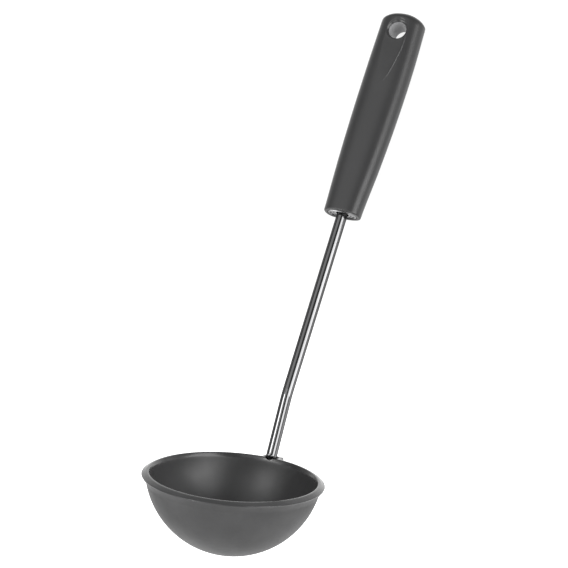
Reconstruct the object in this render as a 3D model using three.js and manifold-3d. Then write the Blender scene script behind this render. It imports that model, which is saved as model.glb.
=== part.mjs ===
// Kitchen ladle: moulded bowl, bent steel rod, hollow moulded grip.
// Millimetres. The ladle lies as it rests on a table: grip along +X, +Z up,
// symmetric about the plane Y = 0, origin under the middle of its length.
import * as THREE from 'three';
import { mergeVertices } from 'three/addons/utils/BufferGeometryUtils.js';
import Module from 'manifold-3d';

const DEG = Math.PI / 180;

// ---- driving dimensions -------------------------------------------------
const GAP = 0.3;                 // fit between pieces that touch

// bowl (its own frame: Z is the bowl axis, rim crest near Z = 0)
const RIM_OUTER_R = 45.0;        // 90 mm across the lip of the rim
const SHELL_OUTER_R = 43.73;     // spherical outside of the shell
const SHELL_CENTRE_Z = 5.29;     // sphere centre above the rim plane
const SHELL_WALL = 2.5;
const BOSS_HALF_WIDTH = 5.5;     // socket boss at the back of the rim
const BOSS_BEVEL = 1.0;
const BOSS_BACK_X = 49.4;        // back of the boss, from the bowl axis
const PAD_OFFSET = 45.4;         // flat under the boss that rests on the table, distance from the bowl's origin

// rod
const ROD_R = 2.8;
const ROD_AT_RIM_X = 44.0;       // where the lower stretch, drawn on, crosses the rim plane
const LEAN_LOW = 23.93 * DEG;    // lean of the lower stretch from the bowl axis
const LEAN_HIGH = 31.55 * DEG;   // lean of the upper stretch
const BEND_AT = 32.6;            // from the rim plane to the bend
const BEND_R = 40.0;
const FOOT_AT = 1.4;             // along the lower stretch from the rim plane: here the rod turns down into the boss
const FOOT_R = 3.5;
const FOOT_LEAN = 3.0 * DEG;     // lean of the foot in the boss
const MOUTH_R = 3.5;             // counterbore round the rod in the top of the boss
const MOUTH_DEPTH = 1.2;
const ROD_IN_BOWL = 8.0;         // end of the rod below the rim plane, in the boss
const ROD_IN_GRIP = 40.0;        // length held in the grip
const FLAT_HALF = 1.75;          // half thickness across the pressed flats at both ends
const FLAT_LOW = 4.5;            // length of the flats in the boss
const FLAT_HIGH = 14.0;          // length of the flats in the grip

// grip (its own frame: Y runs along the rod from the lower end, X across, Z to the back)
const GRIP_FROM_RIM = 131.85;    // rod length showing between rim plane and grip
const GRIP_LENGTH = 116.0;
const GRIP_POWER = 2.5;          // roundness of the section
const GRIP_T = [0, 0.25, 0.5, 0.75, 1.0];
const GRIP_HALF_WIDTH = [9.77, 11.24, 12.11, 12.27, 11.69];
const GRIP_CENTRE = [-0.1, 1.49, 2.94, 3.92, 3.96];   // the grip swings gently to the back
const GRIP_HALF_DEPTH = [6.79, 7.2, 7.42, 7.43, 7.37];
const END_DOME_W = 5.18, END_POWER_W = 1.71;          // rounded top, seen from the front
const END_DOME_D = 4.0, END_POWER_D = 2.2;            // rounded top, seen from the side
const GRIP_WALL = 2.0;
const CAVITY_TO = 84.0;          // the grip is hollow from its lower end to here
const HOLE_AT = 105.0;           // hanging hole
const HOLE_R = 4.5;
const SCOOP_R = 6.0;             // scoop round the hole, front and back
const SCOOP_TIP = 76.2;          // where the scoop runs out
const SCOOP_DEPTH = 0.55;        // at the hole

// end ferrule and core
const RING_WALL = 1.4;           // edge of the grip that shows round the ferrule
const SEAT_DEPTH = 5.0;
const FERRULE_INSET = -0.2;      // its face stands just proud of the grip's end
const FERRULE_EDGE = 0.5;        // rounded edge of its face
const CORE_TO = 46.0;

// how it lies on the table
const REST_ANGLE = 58.6403 * DEG;

// ---- solids ---------------------------------------------------------------
const wasm = await Module();
wasm.setup();

// closed three.js geometry -> solid
function solid(geometry, matrix) {
  let g = geometry.clone();
  g.deleteAttribute('normal');
  g.deleteAttribute('uv');
  g = mergeVertices(g, 1e-4);
  if (matrix) g.applyMatrix4(matrix);
  const idx = g.index.array, tri = [];
  for (let i = 0; i < idx.length; i += 3) {
    const a = idx[i], b = idx[i + 1], c = idx[i + 2];
    if (a !== b && b !== c && c !== a) tri.push(a, b, c);
  }
  return new wasm.Manifold(new wasm.Mesh({
    numProp: 3,
    vertProperties: new Float32Array(g.attributes.position.array),
    triVerts: new Uint32Array(tri),
  }));
}

// solid -> geometry
function geometryOf(manifold) {
  const m = manifold.getMesh();
  const p = new Float32Array(m.numVert * 3);
  for (let i = 0; i < m.numVert; i++) {
    p[3 * i] = m.vertProperties[m.numProp * i];
    p[3 * i + 1] = m.vertProperties[m.numProp * i + 1];
    p[3 * i + 2] = m.vertProperties[m.numProp * i + 2];
  }
  const g = new THREE.BufferGeometry();
  g.setAttribute('position', new THREE.BufferAttribute(p, 3));
  g.setIndex(new THREE.BufferAttribute(new Uint32Array(m.triVerts), 1));
  g.computeVertexNormals();
  return g;
}

const shift = (x, y, z) => new THREE.Matrix4().makeTranslation(x, y, z);
const turnX = (a) => new THREE.Matrix4().makeRotationX(a);

// frame that follows the rod: X across, Y up the rod, Z to the back
function rodFrame(origin, lean) {
  return new THREE.Matrix4().makeBasis(new THREE.Vector3(0, 1, 0),
    new THREE.Vector3(Math.sin(lean), 0, Math.cos(lean)),
    new THREE.Vector3(Math.cos(lean), 0, -Math.sin(lean))).setPosition(origin);
}

function boxAt(x0, y0, z0, x1, y1, z1) {
  return solid(new THREE.BoxGeometry(x1 - x0, y1 - y0, z1 - z0),
    shift((x0 + x1) / 2, (y0 + y1) / 2, (z0 + z1) / 2));
}

// natural cubic through evenly spaced stations
function smooth(values) {
  const curve = new THREE.SplineCurve(values.map((v, i) => new THREE.Vector2(i / (values.length - 1), v)));
  return (t) => curve.getPoint(Math.min(Math.max(t, 0), 1)).y;
}
const halfWidth = smooth(GRIP_HALF_WIDTH);
const centreLine = smooth(GRIP_CENTRE);
const halfDepth = smooth(GRIP_HALF_DEPTH);

// loft along Y of superellipse sections [{ y, a, b, c }], closed at both ends;
// a: half width in X, b: half depth in Z, c: centre in Z
function loft(sections, sides) {
  const pts = [new THREE.Vector2(0, sections[0].y)];
  for (const s of sections) pts.push(new THREE.Vector2(1, s.y));
  pts.push(new THREE.Vector2(0, sections[sections.length - 1].y));
  const g = new THREE.LatheGeometry(pts, sides);
  const pos = g.attributes.position, n = pts.length, k = 2 / GRIP_POWER;
  const rise = (v) => Math.sign(v) * Math.pow(Math.abs(v), k);
  for (let i = 0; i <= sides; i++) {
    const phi = 2 * Math.PI * (i % sides) / sides;
    const ex = rise(Math.abs(Math.sin(phi)) < 1e-9 ? 0 : Math.sin(phi));
    const ez = rise(Math.abs(Math.cos(phi)) < 1e-9 ? 0 : Math.cos(phi));
    for (let j = 0; j < n; j++) {
      const s = sections[Math.min(Math.max(j - 1, 0), sections.length - 1)];
      const onAxis = j === 0 || j === n - 1;
      pos.setXYZ(i * n + j, onAxis ? 0 : s.a * ex, s.y, s.c + (onAxis ? 0 : s.b * ez));
    }
  }
  return solid(g);
}

// grip section at y, drawn in by `inset`
function gripSection(y, inset = 0, t = y / GRIP_LENGTH) {
  return { y, a: halfWidth(t) - inset, b: halfDepth(t) - inset, c: centreLine(t) };
}

// ---- bowl -------------------------------------------------------------------
function makeBowl() {
  const SHELL_INNER_R = SHELL_OUTER_R - SHELL_WALL;
  const profile = [];
  const arc = (R, fromZ, toZ, steps, skipFirst) => {
    const p0 = Math.acos((SHELL_CENTRE_Z - fromZ) / R), p1 = Math.acos((SHELL_CENTRE_Z - toZ) / R);
    for (let i = skipFirst ? 1 : 0; i <= steps; i++) {
      const p = p0 + (p1 - p0) * i / steps;
      profile.push(new THREE.Vector2(Math.max(R * Math.sin(p), 0), SHELL_CENTRE_Z - R * Math.cos(p)));
    }
  };
  profile.push(new THREE.Vector2(0, SHELL_CENTRE_Z - SHELL_OUTER_R));
  arc(SHELL_OUTER_R, SHELL_CENTRE_Z - SHELL_OUTER_R, -6.2, 12, true);
  // lip: flared underside, thin outer edge, top sloping up to a narrow level land, inner bevel
  const o = RIM_OUTER_R;
  for (const [r, z] of [[o - 2.55, -5.0], [o - 1.8, -3.7], [o - 0.6, -2.1], [o - 0.12, -1.5], [o, -1.1], [o - 0.25, -0.8],
    [o - 1.1, -0.28], [o - 2.15, 0.3], [o - 2.5, 0.4], [o - 3.25, 0.42], [o - 3.5, 0.25], [o - 3.8, -0.3], [o - 4.1, -0.9]]) {
    profile.push(new THREE.Vector2(r, z));
  }
  arc(SHELL_INNER_R, -1.8, SHELL_CENTRE_Z - SHELL_INNER_R + 1e-9, 11, false);
  profile[profile.length - 1].x = 0;
  const upright = turnX(Math.PI / 2);
  let bowl = solid(new THREE.LatheGeometry(profile, 60), upright);

  // socket boss: side view in X, Z, drawn out across Y; flat underneath where the ladle rests
  const onPad = (x) => [x, (x * Math.sin(REST_ANGLE) - PAD_OFFSET) / Math.cos(REST_ANGLE)];
  const outline = [[41.9, -0.15], [BOSS_BACK_X - 0.8, -0.15], [BOSS_BACK_X - 0.1, -0.9], [BOSS_BACK_X, -2.6],
    onPad(BOSS_BACK_X), onPad(43.3), [40.4, -18.9], [37.0, -20.8], [34.6, -21.2], [34.2, -19.6], [36.7, -15.0],
    [38.7, -10.0], [40.0, -6.0], [41.0, -2.5]];
  const shape = new THREE.Shape(outline.map(([x, z]) => new THREE.Vector2(x, z)));
  const block = new THREE.ExtrudeGeometry(shape, {
    depth: 2 * (BOSS_HALF_WIDTH - BOSS_BEVEL), steps: 1, bevelEnabled: true,
    bevelThickness: BOSS_BEVEL, bevelSize: BOSS_BEVEL, bevelOffset: -BOSS_BEVEL, bevelSegments: 2,
  });
  // drawn in X, Y and extruded along Z: stand it up so that the outline lies in X, Z
  const stand = turnX(Math.PI / 2).multiply(shift(0, 0, -(BOSS_HALF_WIDTH - BOSS_BEVEL)));
  bowl = bowl.add(solid(block, stand));

  // socket that follows the rod's foot, with flats at its bottom and a shallow counterbore at its mouth
  const axis = rodAxis(ROD_IN_BOWL + GAP);
  const flatTo = FLAT_LOW, flat = FLAT_HALF + GAP;
  const keep = boxAt(-9, -9, -flat, 9, flatTo, flat).add(boxAt(-9, flatTo - 0.001, -40, 9, 40, 40))
    .transform(rodFrame(axis[0].p, FOOT_LEAN).elements);
  bowl = bowl.subtract(tube(axis.slice(0, 9), ROD_R + GAP, 24).intersect(keep));
  const mouth = axis[0].p.clone().addScaledVector(leaning(FOOT_LEAN), (ROD_IN_BOWL + GAP) / Math.cos(FOOT_LEAN) + 4 - MOUTH_DEPTH);
  const bore = new THREE.CylinderGeometry(MOUTH_R, MOUTH_R, 8, 24);
  return bowl.subtract(solid(bore, rodFrame(mouth, FOOT_LEAN)));
}

// ---- rod --------------------------------------------------------------------
const leaning = (lean) => new THREE.Vector3(Math.sin(lean), 0, Math.cos(lean));

// stations { p, lean } along the rod's axis, from `deep` below the rim plane up to the end in the grip
function rodAxis(deep) {
  const low = leaning(LEAN_LOW), high = leaning(LEAN_HIGH);
  const rim = new THREE.Vector3(ROD_AT_RIM_X, 0, 0);
  const foot = rim.clone().addScaledVector(low, FOOT_AT);
  const corner = rim.clone().addScaledVector(low, BEND_AT);
  const end = foot.clone().addScaledVector(leaning(FOOT_LEAN), -(foot.z + deep) / Math.cos(FOOT_LEAN));
  const out = [{ p: end, lean: FOOT_LEAN }];
  const bend = (at, r, from, to, steps) => {
    const t = r * Math.tan((to - from) / 2);
    const start = at.clone().addScaledVector(leaning(from), -t);
    for (let i = 0; i <= steps; i++) {
      const a = from + (to - from) * i / steps;
      // centre of the bend lies to the back of the rod
      out.push({ p: new THREE.Vector3(start.x + r * (Math.cos(from) - Math.cos(a)), 0, start.z + r * (Math.sin(a) - Math.sin(from))), lean: a });
    }
  };
  bend(foot, FOOT_R, FOOT_LEAN, LEAN_LOW, 6);
  out.push({ p: rim.clone().addScaledVector(low, 9), lean: LEAN_LOW });
  bend(corner, BEND_R, LEAN_LOW, LEAN_HIGH, 5);
  out.push({ p: corner.clone().addScaledVector(high, GRIP_FROM_RIM - BEND_AT + ROD_IN_GRIP), lean: LEAN_HIGH });
  return out;
}

// round bar of radius r through the stations
function tube(axis, r, sides) {
  const pos = [], idx = [], n = axis.length;
  for (const { p, lean } of axis) {
    for (let j = 0; j < sides; j++) {
      const a = 2 * Math.PI * j / sides;
      pos.push(p.x + r * Math.sin(a) * Math.cos(lean), p.y + r * Math.cos(a), p.z - r * Math.sin(a) * Math.sin(lean));
    }
  }
  for (const k of [0, n - 1]) pos.push(axis[k].p.x, axis[k].p.y, axis[k].p.z);
  const first = n * sides, last = first + 1;
  for (let j = 0; j < sides; j++) {
    const q = (j + 1) % sides;
    for (let i = 0; i < n - 1; i++) {
      const a = i * sides + j, b = i * sides + q, c = a + sides, d = b + sides;
      idx.push(a, c, b, b, c, d);
    }
    idx.push(first, j, q, last, (n - 1) * sides + q, (n - 1) * sides + j);
  }
  const g = new THREE.BufferGeometry();
  g.setAttribute('position', new THREE.Float32BufferAttribute(pos, 3));
  g.setIndex(idx);
  return solid(g);
}

function makeRod() {
  const axis = rodAxis(ROD_IN_BOWL);
  let rod = tube(axis, ROD_R, 24);
  // flats pressed on both ends
  const pressed = (origin, lean, y0, y1) => {
    const slabs = boxAt(-6, y0, FLAT_HALF, 6, y1, 6).add(boxAt(-6, y0, -6, 6, y1, -FLAT_HALF));
    return slabs.transform(rodFrame(origin, lean).elements);
  };
  rod = rod.subtract(pressed(axis[0].p, FOOT_LEAN, -2, FLAT_LOW));
  rod = rod.subtract(pressed(axis[axis.length - 1].p, LEAN_HIGH, -FLAT_HIGH, 2));
  return rod;
}

// ---- grip, ferrule and core (in the grip's own frame) -------------------------
function makeGrip() {
  const body = [];
  body.push(gripSection(0, 0.5), gripSection(0.2, 0.15), gripSection(0.6));
  for (let i = 1; i <= 15; i++) body.push(gripSection(0.6 + (GRIP_LENGTH - END_DOME_W - 0.6) * i / 15));
  for (const d of [4.2, 3.2, 2.3, 1.5, 0.85, 0.4, 0.12]) {
    const s = gripSection(GRIP_LENGTH - d);
    s.a *= Math.pow(1 - Math.pow(1 - d / END_DOME_W, END_POWER_W), 1 / END_POWER_W);
    if (d < END_DOME_D) s.b *= Math.pow(1 - Math.pow(1 - d / END_DOME_D, END_POWER_D), 1 / END_POWER_D);
    body.push(s);
  }
  let grip = loft(body, 40);

  // hollow from the lower end, with the ferrule's seat in its mouth
  const hollow = [gripSection(-1, GRIP_WALL, 0)];
  for (let i = 0; i <= 6; i++) hollow.push(gripSection(CAVITY_TO * i / 6, GRIP_WALL));
  grip = grip.subtract(loft(hollow, 28));
  grip = grip.subtract(loft([gripSection(-1, RING_WALL, 0), gripSection(0, RING_WALL), gripSection(SEAT_DEPTH, RING_WALL)], 40));

  // hanging hole, front to back
  const mid = centreLine(HOLE_AT / GRIP_LENGTH);
  grip = grip.subtract(solid(new THREE.CylinderGeometry(HOLE_R, HOLE_R, 40, 28), shift(0, HOLE_AT, mid).multiply(turnX(Math.PI / 2))));

  // scoops: flat floors that start level with the surface at the tip and are deepest at the hole
  for (const side of [-1, 1]) {
    const faceAt = (y) => { const s = gripSection(y); return s.c + side * s.b; };
    const zTip = faceAt(SCOOP_TIP), zHole = faceAt(HOLE_AT) - side * SCOOP_DEPTH;
    const slope = Math.atan2(zHole - zTip, HOLE_AT - SCOOP_TIP);
    const u = new THREE.Shape();
    u.moveTo(-SCOOP_R, -40);
    u.lineTo(SCOOP_R, -40);
    u.lineTo(SCOOP_R, 0);
    u.absarc(0, 0, SCOOP_R, 0, Math.PI, false);
    u.lineTo(-SCOOP_R, -40);
    const cut = new THREE.ExtrudeGeometry(u, { depth: 12, bevelEnabled: false, curveSegments: 16, steps: 1 });
    const m = shift(0, HOLE_AT, zHole).multiply(turnX(slope)).multiply(shift(0, 0, side < 0 ? -12 : 0));
    grip = grip.subtract(solid(cut, m));
  }
  return grip;
}

function makeFerrule() {
  const inset = RING_WALL + GAP, y0 = FERRULE_INSET, y1 = SEAT_DEPTH - GAP;
  let f = loft([gripSection(y0, inset + FERRULE_EDGE), gripSection(y0 + 0.15, inset + 0.15), gripSection(y0 + FERRULE_EDGE, inset), gripSection(y1, inset)], 40);
  return f.subtract(solid(new THREE.CylinderGeometry(ROD_R + GAP, ROD_R + GAP, 20, 24)));
}

function makeCore() {
  const inset = GRIP_WALL + GAP, y0 = SEAT_DEPTH + GAP;
  const s = [];
  for (let i = 0; i <= 5; i++) s.push(gripSection(y0 + (CORE_TO - y0) * i / 5, inset));
  const core = loft(s, 28);
  // socket for the rod, with flats where the rod is pressed flat
  const top = ROD_IN_GRIP + GAP, flatFrom = ROD_IN_GRIP - FLAT_HIGH + GAP;
  const round = solid(new THREE.CylinderGeometry(ROD_R + GAP, ROD_R + GAP, top + 2, 24), shift(0, (top - 2) / 2, 0));
  const keep = boxAt(-9, -9, -9, 9, flatFrom, 9).add(boxAt(-9, flatFrom - 0.001, -(FLAT_HALF + GAP), 9, top + 1, FLAT_HALF + GAP));
  return core.subtract(round.intersect(keep));
}

// ---- scene --------------------------------------------------------------------
function mesh(name, manifold, color, roughness, metalness) {
  const m = new THREE.Mesh(geometryOf(manifold), new THREE.MeshStandardMaterial({ color, roughness, metalness }));
  m.name = name;
  return m;
}

const atBowl = new THREE.Group();            // bowl frame
atBowl.rotation.y = REST_ANGLE;              // laid back on the boss and the grip
atBowl.position.z = PAD_OFFSET;
atBowl.add(mesh('bowl', makeBowl(), 0x3f3f41, 0.42, 0.0));
atBowl.add(mesh('rod', makeRod(), 0xa4a5a7, 0.1, 1.0));

const atGrip = new THREE.Group();            // grip frame: X across, Y up the rod, Z to the back
atGrip.position.set(ROD_AT_RIM_X, 0, 0).addScaledVector(leaning(LEAN_LOW), BEND_AT).addScaledVector(leaning(LEAN_HIGH), GRIP_FROM_RIM - BEND_AT);
atGrip.quaternion.setFromRotationMatrix(rodFrame(new THREE.Vector3(), LEAN_HIGH));
atGrip.add(mesh('grip', makeGrip(), 0x3a3a3c, 0.38, 0.0));
atGrip.add(mesh('end_ferrule', makeFerrule(), 0xaaabad, 0.14, 1.0));
atGrip.add(mesh('grip_core', makeCore(), 0x2c2c2e, 0.6, 0.0));
atBowl.add(atGrip);

const ladle = new THREE.Group();
ladle.add(atBowl);
ladle.updateMatrixWorld(true);
const box = new THREE.Box3().setFromObject(ladle, true);
atBowl.position.x -= (box.min.x + box.max.x) / 2;   // origin under the middle of the length
ladle.updateMatrixWorld(true);

export default ladle;
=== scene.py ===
import math
import bmesh
import bpy
import numpy as np
from mathutils import Matrix, Vector


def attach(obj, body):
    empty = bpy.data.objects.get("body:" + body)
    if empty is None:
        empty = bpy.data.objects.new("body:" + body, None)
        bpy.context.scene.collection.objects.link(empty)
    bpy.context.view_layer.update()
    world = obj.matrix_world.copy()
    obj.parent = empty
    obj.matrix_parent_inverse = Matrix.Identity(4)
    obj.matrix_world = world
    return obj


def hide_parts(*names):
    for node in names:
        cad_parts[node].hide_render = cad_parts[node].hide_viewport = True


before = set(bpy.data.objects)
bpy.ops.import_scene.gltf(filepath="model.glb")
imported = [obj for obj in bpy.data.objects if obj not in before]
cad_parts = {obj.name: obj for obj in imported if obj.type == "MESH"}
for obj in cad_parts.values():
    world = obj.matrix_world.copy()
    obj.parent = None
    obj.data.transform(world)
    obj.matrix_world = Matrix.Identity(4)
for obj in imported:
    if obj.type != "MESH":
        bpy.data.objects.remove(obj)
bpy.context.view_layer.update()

MM = 0.001

# ------------------------------------------------------------------ dimensions (mm)
REST = math.radians(58.6403)         # how far the ladle is laid back from bowl-upright
BOWL_AT = (-115.57065, 45.4)         # bowl frame origin in the row frame (x, z)

SHELL_R, SHELL_Z, WALL = 43.73, 5.29, 2.5
PAD = 45.4

ROD_R = 2.8
ROD_X = 44.0
LEAN1, LEAN2 = math.radians(23.93), math.radians(31.55)
BEND_AT, BEND_R = 32.6, 40.0
FOOT_AT, FOOT_R, FOOT_LEAN = 1.4, 3.5, math.radians(3.0)
MOUTH_R, MOUTH_DEPTH = 3.5, 1.2
ROD_IN_BOWL, ROD_IN_GRIP = 8.0, 40.0

GRIP_S = 131.85
GRIP_L = 116.0
POWER = 2.5
G_A = (9.77, 11.24, 12.11, 12.27, 11.69)
G_C = (-0.1, 1.49, 2.94, 3.92, 3.96)
G_B = (6.79, 7.2, 7.42, 7.43, 7.37)
DOME_W, DOME_PW, DOME_D, DOME_PD = 5.18, 1.71, 4.0, 2.2
HOLE_S, HOLE_R = 105.0, 4.5
SCOOP_H, SCOOP_TIP, SCOOP_FULL, SCOOP_TOP = 5.7, 74.3, 95.8, 111.4
EDGE_LIFT = 0.3
RING, SEAT, GRIP_WALL, CAVITY = 1.9, 5.0, 2.0, 84.0

D1 = np.array([math.sin(LEAN1), 0.0, math.cos(LEAN1)])
D2 = np.array([math.sin(LEAN2), 0.0, math.cos(LEAN2)])
N1 = np.array([math.cos(LEAN1), 0.0, -math.sin(LEAN1)])
N2 = np.array([math.cos(LEAN2), 0.0, -math.sin(LEAN2)])
YV = np.array([0.0, 1.0, 0.0])
RIM_PT = np.array([ROD_X, 0.0, 0.0])
BEND_PT = RIM_PT + BEND_AT * D1
FOOT_PT = RIM_PT + FOOT_AT * D1
GRIP_PT = BEND_PT + (GRIP_S - BEND_AT) * D2


def to_row(p):
    """Bowl frame (mm) to row frame (m)."""
    p = np.asarray(p, float)
    c, s = math.cos(REST), math.sin(REST)
    out = np.empty_like(p)
    out[..., 0] = p[..., 0] * c + p[..., 2] * s + BOWL_AT[0]
    out[..., 1] = p[..., 1]
    out[..., 2] = -p[..., 0] * s + p[..., 2] * c + BOWL_AT[1]
    return out * MM


def turn(v):
    c, s = math.cos(REST), math.sin(REST)
    v = np.asarray(v, float)
    return Vector((v[0] * c + v[2] * s, v[1], -v[0] * s + v[2] * c))


def grip_to_bowl(x, y, z):
    """Grip frame (x across, y up the rod, z to the back) to bowl frame, mm."""
    x, y, z = (np.asarray(a, float) for a in (x, y, z))
    return GRIP_PT + x[..., None] * YV + y[..., None] * D2 + z[..., None] * N2


# ------------------------------------------------------------------ camera
cam_data = bpy.data.cameras.new("camera")
cam = bpy.data.objects.new("camera", cam_data)
bpy.context.scene.collection.objects.link(cam)
RIGHT = turn((0.4143357, -0.9065532, 0.0805435))
DOWN = turn((-0.1682633, -0.1632733, -0.9721262))
AHEAD = turn((0.8944347, 0.3892341, -0.2201896))
m = Matrix((RIGHT, -DOWN, -AHEAD)).transposed().to_4x4()
m.translation = Vector(to_row((-1315.5617, -590.8408, 423.9102)))
cam.matrix_world = m
cam_data.sensor_fit = "HORIZONTAL"
cam_data.sensor_width = 36.0
cam_data.lens = 194.7415
cam_data.clip_start, cam_data.clip_end = 0.05, 50.0
bpy.context.scene.camera = cam


# ------------------------------------------------------------------ mesh helpers
def new_object(name, verts, faces, smooth_angle=35.0):
    me = bpy.data.meshes.new(name)
    me.from_pydata([tuple(v) for v in verts], [], faces)
    bm = bmesh.new()
    bm.from_mesh(me)
    bmesh.ops.remove_doubles(bm, verts=bm.verts, dist=1e-7)
    bmesh.ops.dissolve_degenerate(bm, edges=bm.edges, dist=1e-8)
    bmesh.ops.recalc_face_normals(bm, faces=bm.faces)
    if bm.calc_volume(signed=True) < 0:
        bmesh.ops.reverse_faces(bm, faces=bm.faces)
    bm.to_mesh(me)
    bm.free()
    me.polygons.foreach_set("use_smooth", [True] * len(me.polygons))
    me.set_sharp_from_angle(angle=math.radians(smooth_angle))
    ob = bpy.data.objects.new(name, me)
    bpy.context.scene.collection.objects.link(ob)
    return ob


def cut(ob, cutters, smooth_angle=35.0, how="DIFFERENCE"):
    """Cuts closed meshes out of a closed mesh, or joins them on, one at a time, and keeps the result as plain mesh data."""
    for c in cutters:
        mod = ob.modifiers.new("cut", "BOOLEAN")
        mod.operation, mod.solver, mod.object = how, "EXACT", c
        bpy.context.view_layer.update()
        deps = bpy.context.evaluated_depsgraph_get()
        me = bpy.data.meshes.new_from_object(ob.evaluated_get(deps))
        ob.modifiers.clear()
        old, cm = ob.data, c.data
        ob.data = me
        bpy.data.meshes.remove(old)
        bpy.data.objects.remove(c)
        bpy.data.meshes.remove(cm)
        bm = bmesh.new()
        bm.from_mesh(me)
        bmesh.ops.remove_doubles(bm, verts=bm.verts, dist=2e-6)
        bmesh.ops.dissolve_degenerate(bm, edges=bm.edges, dist=1e-6)
        bm.to_mesh(me)
        bm.free()
    me = ob.data
    me.name = ob.name
    me.materials.clear()
    me.polygons.foreach_set("use_smooth", [True] * len(me.polygons))
    me.set_sharp_from_angle(angle=math.radians(smooth_angle))


def grid_faces(rows, cols, wrap=True):
    """Quads of a rows x cols sheet; cols close on themselves."""
    f = []
    n = cols if wrap else cols - 1
    for i in range(rows - 1):
        for j in range(n):
            k = (j + 1) % cols
            f.append((i * cols + j, i * cols + k, (i + 1) * cols + k, (i + 1) * cols + j))
    return f


def revolve(profile, sides, origin, axis, side):
    """Closed body of revolution: profile of (radius, height) from axis to axis."""
    origin, axis, side = (np.asarray(v, float) for v in (origin, axis, side))
    third = np.cross(axis, side)
    verts, faces = [], []
    rings = []
    for r, h in profile:
        if r < 1e-9:
            rings.append([len(verts)])
            verts.append(origin + h * axis)
        else:
            ring = []
            for j in range(sides):
                a = 2 * math.pi * j / sides
                ring.append(len(verts))
                verts.append(origin + h * axis + r * (math.cos(a) * side + math.sin(a) * third))
            rings.append(ring)
    for a, b in zip(rings, rings[1:]):
        if len(a) == 1:
            faces += [(a[0], b[j], b[(j + 1) % sides]) for j in range(sides)]
        elif len(b) == 1:
            faces += [(a[j], a[(j + 1) % sides], b[0]) for j in range(sides)]
        else:
            faces += [(a[j], a[(j + 1) % sides], b[(j + 1) % sides], b[j]) for j in range(sides)]
    return np.array(verts), faces


def catmull(values):
    """Curve through evenly spaced values on 0..1."""
    v = list(values)
    n = len(v) - 1

    def f(t):
        t = np.clip(np.asarray(t, float), 0, 1) * n
        i = np.minimum(t.astype(int), n - 1)
        w = t - i
        p = np.array(v)
        p0 = p[np.maximum(i - 1, 0)]
        p1 = p[i]
        p2 = p[i + 1]
        p3 = p[np.minimum(i + 2, n)]
        v0, v1 = (p2 - p0) * 0.5, (p3 - p1) * 0.5
        return ((2 * p1 - 2 * p2 + v0 + v1) * w ** 3 + (-3 * p1 + 3 * p2 - 2 * v0 - v1) * w ** 2 + v0 * w + p1)
    return f


def smoothstep(a, b, x):
    t = np.clip((np.asarray(x, float) - a) / (b - a), 0, 1)
    return t * t * (3 - 2 * t)


def smin(a, b, k):
    h = np.maximum(k - np.abs(a - b), 0) / k
    return np.minimum(a, b) - h * h * k / 4


def smax(a, b, k):
    return -smin(-a, -b, k)


def resample(points, n):
    """n points evenly along an open polyline through points, ends kept."""
    p = np.asarray(points, float)
    d = np.concatenate([[0], np.cumsum(np.linalg.norm(np.diff(p, axis=0), axis=1))])
    t = np.linspace(0, d[-1], n)
    return np.stack([np.interp(t, d, p[:, k]) for k in range(p.shape[1])], 1)


def chaikin(points, rounds=3):
    """Rounds the corners of an open polyline, ends kept."""
    p = np.asarray(points, float)
    for _ in range(rounds):
        q = [p[0]]
        for a, b in zip(p, p[1:]):
            q += [a * 0.75 + b * 0.25, a * 0.25 + b * 0.75]
        q.append(p[-1])
        p = np.array(q)
    return p


# ------------------------------------------------------------------ rod axis
def rod_axis(deep):
    """Stations (point, lean, length from the rim plane) from the foot in the boss to the end in the grip."""
    out = []
    for z in (-deep, -6.0, -4.0, -2.0, -1.0, -0.2):
        out.append((FOOT_PT + (z - FOOT_PT[2]) * np.array([math.tan(FOOT_LEAN), 0, 1.0]), FOOT_LEAN, z))

    def bend(at, r, lean0, lean1, n, e):
        t = r * math.tan((lean1 - lean0) / 2)
        s0 = at - t * np.array([math.sin(lean0), 0, math.cos(lean0)])
        for a in np.linspace(lean0, lean1, n):
            p = s0 + r * np.array([math.cos(lean0) - math.cos(a), 0, math.sin(a) - math.sin(lean0)])
            out.append((p, a, e - t + r * (a - lean0)))
        return t
    t0 = bend(FOOT_PT, FOOT_R, FOOT_LEAN, LEAN1, 15, FOOT_AT)
    t1 = BEND_R * math.tan((LEAN2 - LEAN1) / 2)
    for e in np.linspace(FOOT_AT + t0, BEND_AT - t1, 10)[1:-1]:
        out.append((RIM_PT + e * D1, LEAN1, e))
    bend(BEND_PT, BEND_R, LEAN1, LEAN2, 15, BEND_AT)
    for e in np.linspace(BEND_AT + t1, GRIP_S + ROD_IN_GRIP, 40)[1:]:
        out.append((BEND_PT + (e - BEND_AT) * D2, LEAN2, e))
    return out


def sweep(stations, sides):
    """Closed round bar through stations (point, lean, radius)."""
    verts, faces = [], []
    for p, lean, r in stations:
        n = np.array([math.cos(lean), 0, -math.sin(lean)])
        for j in range(sides):
            a = 2 * math.pi * j / sides
            verts.append(p + r * (math.cos(a) * YV + math.sin(a) * n))
    faces += grid_faces(len(stations), sides)
    faces.append(tuple(reversed(range(sides))))
    faces.append(tuple(range((len(stations) - 1) * sides, len(stations) * sides)))
    return np.array(verts), faces


# ------------------------------------------------------------------ bowl
def sphere_arc(R, z0, z1, n):
    p0 = math.acos(max(-1, min(1, (SHELL_Z - z0) / R)))
    p1 = math.acos(max(-1, min(1, (SHELL_Z - z1) / R)))
    p = np.linspace(p0, p1, n)
    return np.stack([R * np.sin(p), SHELL_Z - R * np.cos(p)], 1)


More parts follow.
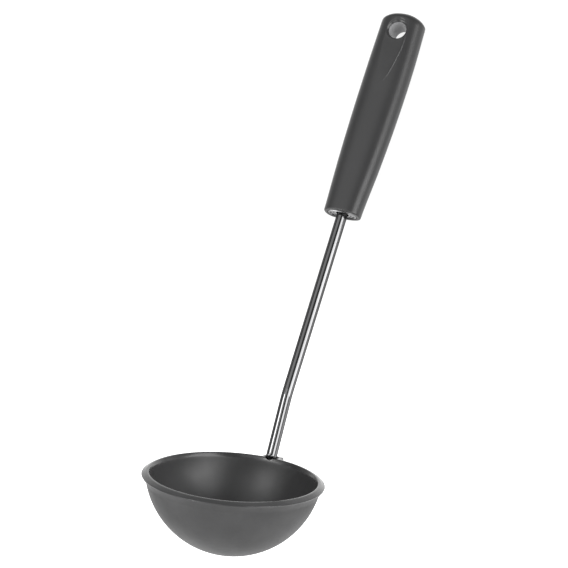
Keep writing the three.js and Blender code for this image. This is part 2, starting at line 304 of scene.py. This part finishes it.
def build_bowl():
    Ri = SHELL_R - WALL
    # plain profile (r, z), outer pole to inner pole
    A = sphere_arc(SHELL_R, SHELL_Z - SHELL_R, -21.4, 30)
    B = sphere_arc(SHELL_R, -21.4, -6.2, 40)
    rim = chaikin([(42.18, -6.2), (42.45, -5.0), (43.2, -3.7), (44.4, -2.1), (44.9, -1.5), (45.08, -1.1), (44.8, -0.78),
                   (43.9, -0.28), (42.85, 0.3), (42.6, 0.4), (42.2, 0.43), (41.75, 0.43), (41.5, 0.3), (41.2, -0.25), (40.92, -0.8),
                   (40.74, -1.3), (40.61, -1.8)], 3)
    crest = int(np.argmax(rim[:, 1]))
    C = resample(rim[:crest + 1], 30)
    Dp = resample(rim[crest:], 22)
    E = sphere_arc(Ri, -1.8, SHELL_Z - Ri, 45)
    plain = np.concatenate([A, B[1:], C[1:], Dp[1:], E[1:]])
    # with the boss: flat pad underneath, top level with the rim
    def on_pad(x):
        return (x, (x * math.sin(REST) - PAD) / math.cos(REST))
    start = A[-1]
    low = chaikin([start, (36.6, -20.6), (40.2, -19.2), on_pad(43.1), on_pad(45.0), on_pad(47.0), on_pad(48.6), (49.38, -5.3),
                   (49.4, -4.0), (49.4, -2.2)], 3)
    top = chaikin([(49.4, -2.2), (49.4, -0.75), (48.7, -0.12), (46.5, -0.05), (44.6, 0.1), tuple(C[-1])], 3)
    bossB = resample(low, 40)
    bossC = resample(top, 30)
    boss = np.concatenate([A, bossB[1:], bossC[1:], Dp[1:], E[1:]])
    inner0 = len(A) + 39 + 29
    # columns: fine across the boss, coarser round the rest
    ys = np.linspace(-8.5, 8.5, 69)
    fine = np.arcsin(ys / 45.0)
    rest = np.linspace(fine[-1], 2 * math.pi + fine[0], 168)[1:-1]
    az = np.concatenate([fine, rest])
    n_az, n_p = len(az), len(plain)
    yb = 45.0 * np.sin(az)
    behind = np.cos(az) > 0
    w = np.where(behind, 1 - smoothstep(4.55, 6.35, np.abs(yb)), 0.0)
    P = np.empty((n_p, n_az, 3))
    ca, sa = np.cos(az), np.sin(az)
    P[..., 0] = plain[:, 0, None] * ca
    P[..., 1] = plain[:, 0, None] * sa
    P[..., 2] = plain[:, 1, None]
    Bs = np.empty_like(P)
    Bs[..., 0] = boss[:, 0, None]
    Bs[..., 1] = yb
    Bs[..., 2] = boss[:, 1, None]
    i0, i1 = len(A), inner0
    P[i0:i1] = P[i0:i1] * (1 - w[None, :, None]) + Bs[i0:i1] * w[None, :, None]
    verts = [P[0, 0] * [0, 0, 1]]
    verts += list(P[1:-1].reshape(-1, 3))
    verts.append(P[-1, 0] * [0, 0, 1])
    rows = n_p - 2
    faces = [(0, 1 + (j + 1) % n_az, 1 + j) for j in range(n_az)]
    for (a, b, c, d) in grid_faces(rows, n_az):
        faces.append((1 + a, 1 + b, 1 + c, 1 + d))
    last = len(verts) - 1
    base = 1 + (rows - 1) * n_az
    faces += [(last, base + j, base + (j + 1) % n_az) for j in range(n_az)]
    ob = new_object("bowl_shell", to_row(np.array(verts)), faces, 40)
    # socket that follows the rod's foot, opened out a little at its mouth
    axis = [q for q in rod_axis(ROD_IN_BOWL + 0.3) if q[2] < 9.0]
    v, f = sweep([(p, lean, ROD_R + 0.28) for p, lean, e in axis], 64)
    socket = new_object("socket_cutter", to_row(v), f)
    foot = np.array([math.sin(FOOT_LEAN), 0.0, math.cos(FOOT_LEAN)])
    side = np.array([math.cos(FOOT_LEAN), 0.0, -math.sin(FOOT_LEAN)])
    at_rim = FOOT_PT - FOOT_PT[2] / foot[2] * foot
    prof = [(0, -MOUTH_DEPTH), (MOUTH_R - 0.35, -MOUTH_DEPTH), (MOUTH_R - 0.1, -MOUTH_DEPTH + 0.1), (MOUTH_R, -MOUTH_DEPTH + 0.35),
            (MOUTH_R, -0.5), (MOUTH_R + 0.06, -0.3), (MOUTH_R + 0.22, -0.12), (MOUTH_R + 0.6, 0.15), (MOUTH_R + 0.6, 6.0), (0, 6.0)]
    v, f = revolve(prof, 64, at_rim, foot, side)
    mouth = new_object("mouth_cutter", to_row(v), f)
    cut(ob, [socket, mouth], 40)
    return ob


# ------------------------------------------------------------------ rod
def build_rod():
    st = rod_axis(ROD_IN_BOWL)
    (p0, l0, e0), (p1, l1, e1) = st[0], st[-1]
    up0 = np.array([math.sin(l0), 0, math.cos(l0)])
    up1 = np.array([math.sin(l1), 0, math.cos(l1)])
    stations = [(p0, l0, ROD_R - 0.4), (p0 + 0.4 * up0, l0, ROD_R)]
    stations += [(p, lean, ROD_R) for p, lean, e in st[1:-1]]
    stations += [(p1 - 0.4 * up1, l1, ROD_R), (p1, l1, ROD_R - 0.4)]
    v, f = sweep(stations, 64)
    return new_object("rod_bar", to_row(v), f, 35)


# ------------------------------------------------------------------ grip
fa, fb, fc = catmull(G_A), catmull(G_B), catmull(G_C)


def outline(n, a, b, p=POWER):
    """n points evenly round a superellipse, counter-clockwise from +x."""
    t = np.linspace(0, 2 * math.pi, 4001)
    x = a * np.sign(np.cos(t)) * np.abs(np.cos(t)) ** (2 / p)
    z = b * np.sign(np.sin(t)) * np.abs(np.sin(t)) ** (2 / p)
    d = np.concatenate([[0], np.cumsum(np.hypot(np.diff(x), np.diff(z)))])
    u = np.linspace(0, d[-1], n + 1)[:-1]
    return np.interp(u, d, x), np.interp(u, d, z)


UNIT_N = 208


def unit_ring():
    """Outline of a mid-grip section scaled to unit half-sizes, so rings line up along the grip."""
    x, z = outline(UNIT_N, 12.0, 7.3)
    return x / 12.0, z / 7.3


UX, UZ = unit_ring()


def section(s, inset=0.0, t=None):
    t = s / GRIP_L if t is None else t
    return float(fa(t)) - inset, float(fb(t)) - inset, float(fc(t))


def face_at(s, side):
    a, b, c = section(s)
    return c + side * b


def scoop_half(s):
    """Half width of the scoop's outline: a point at the tip, straight sides, round over the hole."""
    if s <= HOLE_S:
        t = min(max((s - SCOOP_TIP) / (SCOOP_FULL - SCOOP_TIP), 0.0), 1.4)
        return SCOOP_H * float(smin(math.sqrt(t), 1.0, 0.06) + 0.0)
    return SCOOP_H * math.sqrt(max(0.0, 1 - ((s - HOLE_S) / (SCOOP_TOP - HOLE_S)) ** 2))


def scoop_cutter(name, side, step, run_out):
    """Closed cutter of one scoop: a shallow floor, with a crisp step on one side and running out on the other."""
    st = [SCOOP_TIP + 0.02 * k * k for k in range(1, 16)]
    st += list(np.linspace(st[-1], HOLE_S, 50)[1:])
    st += [HOLE_S + (SCOOP_TOP - HOLE_S) * math.sin(k * math.pi / 2) for k in np.linspace(0, 1, 30)[1:-1]]
    right, left = [], []
    for s in st:
        h = scoop_half(s)
        a, b, c = section(min(s, HOLE_S))
        drop = b * (1 - (1 - (scoop_half(min(s, HOLE_S)) / a) ** POWER) ** (1 / POWER))
        crown = face_at(s, side)
        rise = float(smoothstep(SCOOP_TIP, SCOOP_TIP + 6.0, s))
        right.append((-h, s, crown - side * (drop + step * rise)))
        left.append((h, s, crown - side * (drop + run_out * rise)))
    first = (0.0, SCOOP_TIP, face_at(SCOOP_TIP, side))
    mid = 0.5 * (right[-1][2] + left[-1][2])
    last = (0.0, SCOOP_TOP, mid)
    loop = np.array([first] + right + [last] + left[::-1])
    ahead = np.roll(loop, -1, 0) - np.roll(loop, 1, 0)
    out = np.stack([-ahead[:, 1], ahead[:, 0]], 1)
    out /= np.linalg.norm(out, axis=1)[:, None]
    if np.sum(out[:, 0] * loop[:, 0]) < 0:
        out = -out
    rim = loop.copy()
    rim[:, :2] += 1.5 * out
    rim[:, 2] += side * 1.6
    n, k = len(loop), len(right)
    verts = np.concatenate([loop, rim])
    faces = [(i, (i + 1) % n, n + (i + 1) % n, n + i) for i in range(n)]
    for off in (0, n):
        tris = [(0, 1, n - 1)]
        for i in range(1, k):
            a, b, c, d = i, i + 1, n - i - 1, n - i
            tris += [(a, b, c), (a, c, d)]
        tris.append((k, k + 1, k + 2))
        faces += [tuple(off + q for q in t) for t in tris]
    return new_object(name, to_row(grip_to_bowl(verts[:, 0], verts[:, 1], verts[:, 2])), faces)


def flat_edge(name, side):
    """Closed sliver that lifts one edge of the flat: steep outside, running out over the flat."""
    st = np.linspace(SCOOP_TIP + 1.0, HOLE_S - 1.3, 76)
    rows = []
    for s in st:
        h = scoop_half(s)
        a, b, c = section(s)

        def drop(x):
            return b * (1 - (1 - (abs(x) / a) ** POWER) ** (1 / POWER))
        crown = face_at(s, side)
        full = drop(scoop_half(min(s, HOLE_S)))
        k = float(smoothstep(SCOOP_TIP + 0.5, SCOOP_TIP + 7.0, s) * (1 - smoothstep(HOLE_S - 3.4, HOLE_S - 1.6, s)))
        lift = 0.02 + EDGE_LIFT * k * (0.8 + 0.45 * float(smoothstep(88.0, 101.0, s)))
        for x, d in ((-h, full - lift), (-h - 0.9 * lift - 0.05, drop(h + 0.9 * lift + 0.05) + 0.04), (-h + 0.2, full + 0.7),
                     (-h + min(1.5, 0.7 * h), full + 0.03)):
            rows.append((x, s, crown - side * d))
    v = np.array(rows)
    faces = grid_faces(len(st), 4) + [(3, 2, 1, 0), tuple(range(len(v) - 4, len(v)))]
    return new_object(name, to_row(grip_to_bowl(v[:, 0], v[:, 1], v[:, 2])), faces)


def build_grip():
    rows = []          # (s, a, b, c)
    # outside, lower edge rounded
    er = 0.7
    for k in np.linspace(0, math.pi / 2, 7):
        s = er * (1 - math.sin(k))
        ins = er * (1 - math.cos(k))
        rows.append((s, ins))
    rows = [(s, ins) for s, ins in rows][::-1]          # from s=0 (inset er) up to s=er (inset 0)
    ss = list(np.linspace(er, GRIP_L - DOME_W, 130)[1:-1])
    body = [(s, *section(s, ins)) for s, ins in rows] + [(s, *section(s)) for s in ss]
    for k in np.linspace(0, 1, 26)[1:]:
        d = DOME_W * (1 - k) ** 2.0
        s = GRIP_L - d
        a, b, c = section(s)
        a *= (1 - (1 - d / DOME_W) ** DOME_PW) ** (1 / DOME_PW)
        if d < DOME_D:
            b *= (1 - (1 - d / DOME_D) ** DOME_PD) ** (1 / DOME_PD)
        if d > 1e-6:
            body.append((s, a, b, c))
    X, Y, Z = [], [], []
    for s, a, b, c in body:
        X.append(a * UX)
        Y.append(np.full(UNIT_N, s))
        Z.append(c + b * UZ)
    X, Y, Z = np.array(X), np.array(Y), np.array(Z)
    verts = list(np.stack([X, Y, Z], -1).reshape(-1, 3))
    n_out = len(body)
    faces = grid_faces(n_out, UNIT_N)
    top = len(verts)
    verts.append(np.array([0, GRIP_L, section(GRIP_L)[2]]))
    base = (n_out - 1) * UNIT_N
    faces += [(base + j, base + (j + 1) % UNIT_N, top) for j in range(UNIT_N)]
    # inside: ring, ferrule seat, step, hollow
    inn = [(0.0, RING - 0.35), (0.06, RING - 0.12), (0.3, RING), (SEAT, RING), (SEAT, GRIP_WALL)]
    inn += [(s, GRIP_WALL) for s in np.linspace(SEAT + 3, CAVITY - 1.0, 16)]
    prev = [j for j in range(UNIT_N)]
    for s, ins in inn:
        a, b, c = section(max(s, 0.0), ins)
        ring = list(range(len(verts), len(verts) + UNIT_N))
        verts += list(np.stack([a * UX, np.full(UNIT_N, s), c + b * UZ], -1))
        faces += [(prev[(j + 1) % UNIT_N], prev[j], ring[j], ring[(j + 1) % UNIT_N]) for j in range(UNIT_N)]
        prev = ring
    a, b, c = section(CAVITY, GRIP_WALL + 1.0)
    ring = list(range(len(verts), len(verts) + UNIT_N))
    verts += list(np.stack([a * UX, np.full(UNIT_N, CAVITY), c + b * UZ], -1))
    faces += [(prev[(j + 1) % UNIT_N], prev[j], ring[j], ring[(j + 1) % UNIT_N]) for j in range(UNIT_N)]
    mid = len(verts)
    verts.append(np.array([0, CAVITY, c]))
    faces += [(ring[(j + 1) % UNIT_N], ring[j], mid) for j in range(UNIT_N)]
    v = np.array(verts)
    ob = new_object("grip_body", to_row(grip_to_bowl(v[:, 0], v[:, 1], v[:, 2])), faces, 40)
    # hanging hole with softly rounded mouths
    zf, zb = face_at(HOLE_S, -1) + 0.5, face_at(HOLE_S, 1) - 0.5
    fb = 1.4
    prof = [(0, zf - 6), (HOLE_R + 2.2, zf - 6), (HOLE_R + 1.6, zf - 0.25)]
    mouth = chaikin([(1.5, -0.2), (1.2, 0.0), (0.95, 0.18), (0.3, 0.95), (0.08, 1.3), (0.0, 1.75)], 2)
    prof += [(HOLE_R + dr, zf + dz) for dr, dz in mouth[1:]]
    for k in np.linspace(1, 0.12, 10):
        ang = k * math.pi / 2
        prof.append((HOLE_R + fb * (1 - math.sin(ang)), zb - fb * (1 - math.cos(ang))))
    prof += [(HOLE_R + fb + 0.35, zb + 0.25), (HOLE_R + fb + 0.9, zb + 6), (0, zb + 6)]
    origin = grip_to_bowl(np.array(0.0), np.array(HOLE_S), np.array(0.0))
    v, f = revolve(prof, 72, origin, N2, YV)
    hole = new_object("hole_cutter", to_row(v), f)
    cut(ob, [scoop_cutter("scoop_front", -1, 0.0, 0.0), scoop_cutter("scoop_back", 1, 0.0, 0.0)], 20)
    cut(ob, [flat_edge("edge_front", -1)], 20, "UNION")
    cut(ob, [hole], 20)
    return ob


# ------------------------------------------------------------------ ferrule
def build_ferrule():
    inset = RING + 0.22
    s0, s1 = -0.55, SEAT - 0.3
    n = UNIT_N
    ang = np.arctan2(UZ * 7.3, UX * 12.0)
    cx, cz = np.cos(ang), np.sin(ang)
    rh = ROD_R + 0.55

    def ring(s, ins, mix):
        a, b, c = section(s, ins)
        ox, oz = a * UX, c + b * UZ
        return np.stack([ox * (1 - mix) + rh * cx * mix, np.full(n, s), oz * (1 - mix) + rh * cz * mix], -1)
    rings = []
    # back face (inside the grip), side, rolled edge, pressed groove, dome, lip round the rod
    rings.append(ring(s1, inset, 1.0))
    rings.append(ring(s1, inset, 0.0))
    rings.append(ring(s0 + 1.0, inset, 0.0))
    for k in np.linspace(0, math.pi / 2, 7)[1:]:
        rings.append(ring(s0 + 1.0 - 0.5 * math.sin(k), inset + 0.5 * (1 - math.cos(k)), 0.0))
    at = [0.0, 0.04, 0.08, 0.12, 0.15, 0.3, 0.46, 0.56, 0.62, 0.68, 0.76, 0.9, 1.0]
    up = [0.0, 0.08, 0.05, -0.5, -0.6, -0.5, -0.28, -0.3, -0.85, -0.85, -0.4, -0.35, -0.6]
    curve = chaikin(np.stack([at, up], 1), 2)
    for mix, h in zip(curve[1:, 0], curve[1:, 1]):
        rings.append(ring(s0 + 0.5 - h, inset + 0.5, mix))
    rings.append(ring(s0 + 2.4, inset + 0.5, 1.0))
    verts = np.concatenate(rings)
    faces = []
    for i in range(len(rings)):
        k = (i + 1) % len(rings)
        for j in range(n):
            q = (j + 1) % n
            faces.append((i * n + j, i * n + q, k * n + q, k * n + j))
    return new_object("ferrule_plate", to_row(grip_to_bowl(verts[:, 0], verts[:, 1], verts[:, 2])), faces, 40)


bowl = build_bowl()
rod = build_rod()
grip = build_grip()
ferrule = build_ferrule()


# ------------------------------------------------------------------ materials
def material(name):
    mat = bpy.data.materials.new(name)
    mat.use_nodes = True
    nt = mat.node_tree
    nt.nodes.clear()
    out = nt.nodes.new("ShaderNodeOutputMaterial")
    bsdf = nt.nodes.new("ShaderNodeBsdfPrincipled")
    nt.links.new(bsdf.outputs["BSDF"], out.inputs["Surface"])
    coord = nt.nodes.new("ShaderNodeTexCoord")
    return mat, nt, bsdf, coord


def noise(nt, vec, scale, detail=3.0, rough=0.5):
    n = nt.nodes.new("ShaderNodeTexNoise")
    n.inputs["Scale"].default_value = scale
    n.inputs["Detail"].default_value = detail
    n.inputs["Roughness"].default_value = rough
    nt.links.new(vec, n.inputs["Vector"])
    return n.outputs["Fac"]


def ramp(nt, fac, lo, hi, c0, c1):
    r = nt.nodes.new("ShaderNodeMapRange")
    r.inputs["From Min"].default_value, r.inputs["From Max"].default_value = lo, hi
    r.inputs["To Min"].default_value, r.inputs["To Max"].default_value = c0, c1
    nt.links.new(fac, r.inputs["Value"])
    return r.outputs["Result"]


def colour(nt, fac, c0, c1, lo=0.3, hi=0.7):
    r = nt.nodes.new("ShaderNodeValToRGB")
    r.color_ramp.elements[0].position, r.color_ramp.elements[1].position = lo, hi
    r.color_ramp.elements[0].color, r.color_ramp.elements[1].color = (*c0, 1), (*c1, 1)
    nt.links.new(fac, r.inputs["Fac"])
    return r.outputs["Color"]


def bump(nt, height, strength, distance):
    b = nt.nodes.new("ShaderNodeBump")
    b.inputs["Strength"].default_value = strength
    b.inputs["Distance"].default_value = distance
    nt.links.new(height, b.inputs["Height"])
    return b.outputs["Normal"]


def along(nt, vec, axis, point):
    """Distance (m) of a surface point from a plane, along the plane's axis."""
    d = nt.nodes.new("ShaderNodeVectorMath")
    d.operation = "SUBTRACT"
    d.inputs[1].default_value = tuple(point)
    nt.links.new(vec, d.inputs[0])
    n = nt.nodes.new("ShaderNodeVectorMath")
    n.operation = "DOT_PRODUCT"
    n.inputs[1].default_value = tuple(axis)
    nt.links.new(d.outputs["Vector"], n.inputs[0])
    return n.outputs["Value"]


def off_point(nt, vec, point):
    """Distance (m) of a surface point from a point."""
    d = nt.nodes.new("ShaderNodeVectorMath")
    d.operation = "DISTANCE"
    d.inputs[1].default_value = tuple(point)
    nt.links.new(vec, d.inputs[0])
    return d.outputs["Value"]


def off_axis(nt, vec, axis, point):
    """Distance (m) of a surface point from a line."""
    d = nt.nodes.new("ShaderNodeVectorMath")
    d.operation = "SUBTRACT"
    d.inputs[1].default_value = tuple(point)
    nt.links.new(vec, d.inputs[0])
    c = nt.nodes.new("ShaderNodeVectorMath")
    c.operation = "CROSS_PRODUCT"
    c.inputs[1].default_value = tuple(axis)
    nt.links.new(d.outputs["Vector"], c.inputs[0])
    n = nt.nodes.new("ShaderNodeVectorMath")
    n.operation = "LENGTH"
    nt.links.new(c.outputs["Vector"], n.inputs[0])
    return n.outputs["Value"]


def blend(nt, fac, a, b, kind):
    """Blends two node outputs by a mask."""
    m = nt.nodes.new("ShaderNodeMix")
    m.data_type = kind
    ia, ib = (2, 3) if kind == "FLOAT" else (6, 7)
    nt.links.new(fac, m.inputs[0])
    nt.links.new(a, m.inputs[ia])
    nt.links.new(b, m.inputs[ib])
    return m.outputs[0 if kind == "FLOAT" else 2]


def plastic(name, dark, light, r0, r1, grain, painted_light_mask=None, painted_light_greys=None, dull=None, smooth=None):
    """Moulded plastic; an optional mask function marks where lighter greys, mottled by noise and with their own
    roughness, are painted on as painted light; smooth(nt, vec) marks where it is shinier.
    """
    mat, nt, bsdf, coord = material(name)
    vec = coord.outputs["Object"]
    big = noise(nt, vec, 28.0, 4.0, 0.55)
    mid = noise(nt, vec, 95.0, 5.0, 0.6)
    tint = colour(nt, big, dark, light)
    # painted light: lighter greys, mottled by noise, are blended in where the mask is on
    if painted_light_mask:
        painted_light_mottle = noise(nt, vec, painted_light_greys[2], 6.0, 0.62)
        lo, hi = ((g, g, g * 1.015) for g in painted_light_greys[:2])
        where = painted_light_mask(nt, vec)
        tint = blend(nt, where, tint, colour(nt, painted_light_mottle, lo, hi), "RGBA")
    nt.links.new(tint, bsdf.inputs["Base Color"])
    gloss = ramp(nt, mid, 0.3, 0.7, r0, r1)
    if dull:
        gloss = blend(nt, where, gloss, ramp(nt, painted_light_mottle, 0.3, 0.7, dull[1], dull[0]), "FLOAT")
    if smooth:
        gloss = blend(nt, smooth(nt, vec), gloss, ramp(nt, mid, 0.3, 0.7, 0.2, 0.26), "FLOAT")
    nt.links.new(gloss, bsdf.inputs["Roughness"])
    fine = noise(nt, vec, 1500.0, 2.0, 0.5)
    nt.links.new(bump(nt, fine, grain, 0.0001), bsdf.inputs["Normal"])
    bsdf.inputs["IOR"].default_value = 1.5
    bsdf.inputs["Specular IOR Level"].default_value = 0.37
    return mat


def steel(name, direction, c0, c1, r0, r1, edge=1.0):
    mat, nt, bsdf, coord = material(name)
    mp = nt.nodes.new("ShaderNodeMapping")
    mp.inputs["Scale"].default_value = direction
    nt.links.new(coord.outputs["Object"], mp.inputs["Vector"])
    lines = noise(nt, mp.outputs["Vector"], 900.0, 2.0, 0.5)
    nt.links.new(colour(nt, lines, c0, c1), bsdf.inputs["Base Color"])
    nt.links.new(ramp(nt, lines, 0.3, 0.7, r0, r1), bsdf.inputs["Roughness"])
    nt.links.new(bump(nt, lines, 0.05, 0.00005), bsdf.inputs["Normal"])
    bsdf.inputs["Metallic"].default_value = 1.0
    bsdf.inputs["Specular Tint"].default_value = (edge, edge, edge, 1)
    return mat


HOLE_C = to_row(grip_to_bowl(np.array(0.0), np.array(HOLE_S), np.array(0.0)))


def rim_band(nt, vec):
    return ramp(nt, along(nt, vec, turn((0, 0, 1)), to_row((0, 0, 0))), -0.0018, -0.0012, 0.0, 1.0)


# mask of the bowl's outer wall and the outside of the rim, where lighter greys are painted on: painted light standing
# for light bounced up from the floor
def outside(nt, vec):
    return ramp(nt, off_point(nt, vec, to_row((0, 0, SHELL_Z))), (SHELL_R - 1.4) * MM, (SHELL_R - 0.8) * MM, 0.0, 1.0)


# mask of the hanging hole's bore, where light greys are painted on: painted light standing for light coming through the
# hole
def hole_wall(nt, vec):
    return ramp(nt, off_axis(nt, vec, turn(N2), HOLE_C), (HOLE_R + 0.3) * MM, (HOLE_R + 0.08) * MM, 0.0, 1.0)


def hole_mouth(nt, vec):
    return ramp(nt, off_axis(nt, vec, turn(N2), HOLE_C), (HOLE_R + 1.5) * MM, (HOLE_R + 1.2) * MM, 0.0, 1.0)


# bowl: its outer wall gets painted light, a lighter mottled grey than the inside, standing for light from the floor
# below; the inside keeps the plain grey
nylon = plastic("bowl_nylon", (0.023, 0.023, 0.0234), (0.0275, 0.0275, 0.028), 0.36, 0.44, 0.05,
                painted_light_mask=outside, painted_light_greys=(0.029, 0.041, 45.0), dull=(0.56, 0.66), smooth=rim_band)
# grip: the hanging hole's bore gets painted light, a light mottled grey standing for light coming through the hole
grip_mat = plastic("grip_plastic", (0.0235, 0.0235, 0.0239), (0.0275, 0.0275, 0.028), 0.29, 0.35, 0.05,
                   painted_light_mask=hole_wall, painted_light_greys=(0.21, 0.29, 95.0), smooth=hole_mouth)
rod_mat = steel("rod_steel", (0.03, 1.0, 1.0), (0.125, 0.125, 0.127), (0.15, 0.15, 0.152), 0.05, 0.09, 0.15)
fer_mat = steel("ferrule_steel", (1.0, 1.0, 1.0), (0.26, 0.26, 0.264), (0.34, 0.34, 0.344), 0.06, 0.12)
core_mat = plastic("core_plastic", (0.02, 0.02, 0.02), (0.03, 0.03, 0.03), 0.5, 0.6, 0.05)

for ob, mat, node, slot in ((bowl, nylon, "bowl", "bowl_nylon"), (rod, rod_mat, "rod", "rod_steel"),
                            (grip, grip_mat, "grip", "grip_plastic"), (ferrule, fer_mat, "end_ferrule", "ferrule_steel")):
    ob.data.materials.append(mat)
    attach(ob, "root")
    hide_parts(node)
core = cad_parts["grip_core"]
core.data.materials.clear()
core.data.materials.append(core_mat)

# ------------------------------------------------------------------ floor, light
def floor_mesh():
    """Round floor that sweeps up into a low wall far away."""
    prof = [(r, 0.0) for r in (0.3, 0.8, 1.6, 3.0)]
    prof += [(3.0 + 0.9 * math.sin(a), 0.9 * (1 - math.cos(a))) for a in np.linspace(0, math.pi / 2, 13)[1:]]
    prof.append((3.9, 1.3))
    n = 96
    verts, faces = [(0.0, 0.0, 0.0)], []
    for r, z in prof:
        verts += [(r * math.cos(2 * math.pi * k / n), r * math.sin(2 * math.pi * k / n), z) for k in range(n)]
    faces += [(0, 1 + k, 1 + (k + 1) % n) for k in range(n)]
    faces += [tuple(1 + q for q in reversed(f)) for f in grid_faces(len(prof), n)]
    me = bpy.data.meshes.new("floor")
    me.from_pydata(verts, [], faces)
    me.polygons.foreach_set("use_smooth", [True] * len(me.polygons))
    return me


fl = floor_mesh()
floor = bpy.data.objects.new("floor", fl)
bpy.context.scene.collection.objects.link(floor)
fmat, nt, bsdf, coord = material("floor_pale")
bsdf.inputs["Base Color"].default_value = (0.15, 0.15, 0.15, 1)
bsdf.inputs["Emission Color"].default_value = (1, 1, 1, 1)
bsdf.inputs["Roughness"].default_value = 0.9
bsdf.inputs["Specular IOR Level"].default_value = 0.0
# soft glow that fades away from the ladle, a little stronger under the bowl
glow = nt.nodes.new("ShaderNodeMath")
glow.operation = "ADD"
for k, (at, near, away, most, least) in enumerate((((0, 0, 0), 0.18, 1.3, 0.89, 0.55), ((-0.15, 0, 0), 0.04, 0.17, 0.9, 0.0))):
    g = ramp(nt, off_point(nt, coord.outputs["Object"], at), near, away, most, least)
    g.node.interpolation_type = "SMOOTHERSTEP"
    nt.links.new(g, glow.inputs[k])
nt.links.new(glow.outputs["Value"], bsdf.inputs["Emission Strength"])
fl.materials.append(fmat)


def softbox(name, towards, dist, size_x, size_y, power, target=(0.0, 0.0, 0.02)):
    data = bpy.data.lights.new(name, "AREA")
    data.shape = "RECTANGLE"
    data.size, data.size_y = size_x, size_y
    data.energy = power
    ob = bpy.data.objects.new(name, data)
    bpy.context.scene.collection.objects.link(ob)
    d = Vector(towards).normalized()
    ob.location = Vector(target) + d * dist
    ob.rotation_euler = d.to_track_quat("Z", "Y").to_euler()     # local Y points up
    return ob


def aimed(az, el):
    a, e = math.radians(az), math.radians(el)
    return (math.cos(e) * math.cos(a), math.cos(e) * math.sin(a), math.sin(e))


softbox("right_box", aimed(270, 33), 1.8, 1.75, 1.05, 34)
softbox("right_strip", aimed(283, 9), 1.8, 0.36, 0.46, 3.7)
softbox("left_high_box", aimed(112, 61), 1.8, 0.85, 0.9, 9.7)
softbox("left_strip", aimed(91, 68), 1.8, 0.3, 0.3, 3.1)
softbox("left_low_box", aimed(131, 23), 1.8, 1.4, 1.15, 23)
softbox("front_box", aimed(202, 37), 1.8, 1.25, 1.45, 13.5)
softbox("back_panel", aimed(55, 61), 1.8, 1.5, 1.3, 6.2)
softbox("top_box", aimed(0, 90), 1.8, 0.8, 0.8, 2.4)

world = bpy.data.worlds.new("studio")
world.use_nodes = True
world.node_tree.nodes["Background"].inputs["Color"].default_value = (1.0, 1.0, 1.0, 1)
world.node_tree.nodes["Background"].inputs["Strength"].default_value = 0.2
bpy.context.scene.world = world
bpy.context.scene.view_settings.view_transform = "Standard"
bpy.context.scene.view_settings.look = "None"
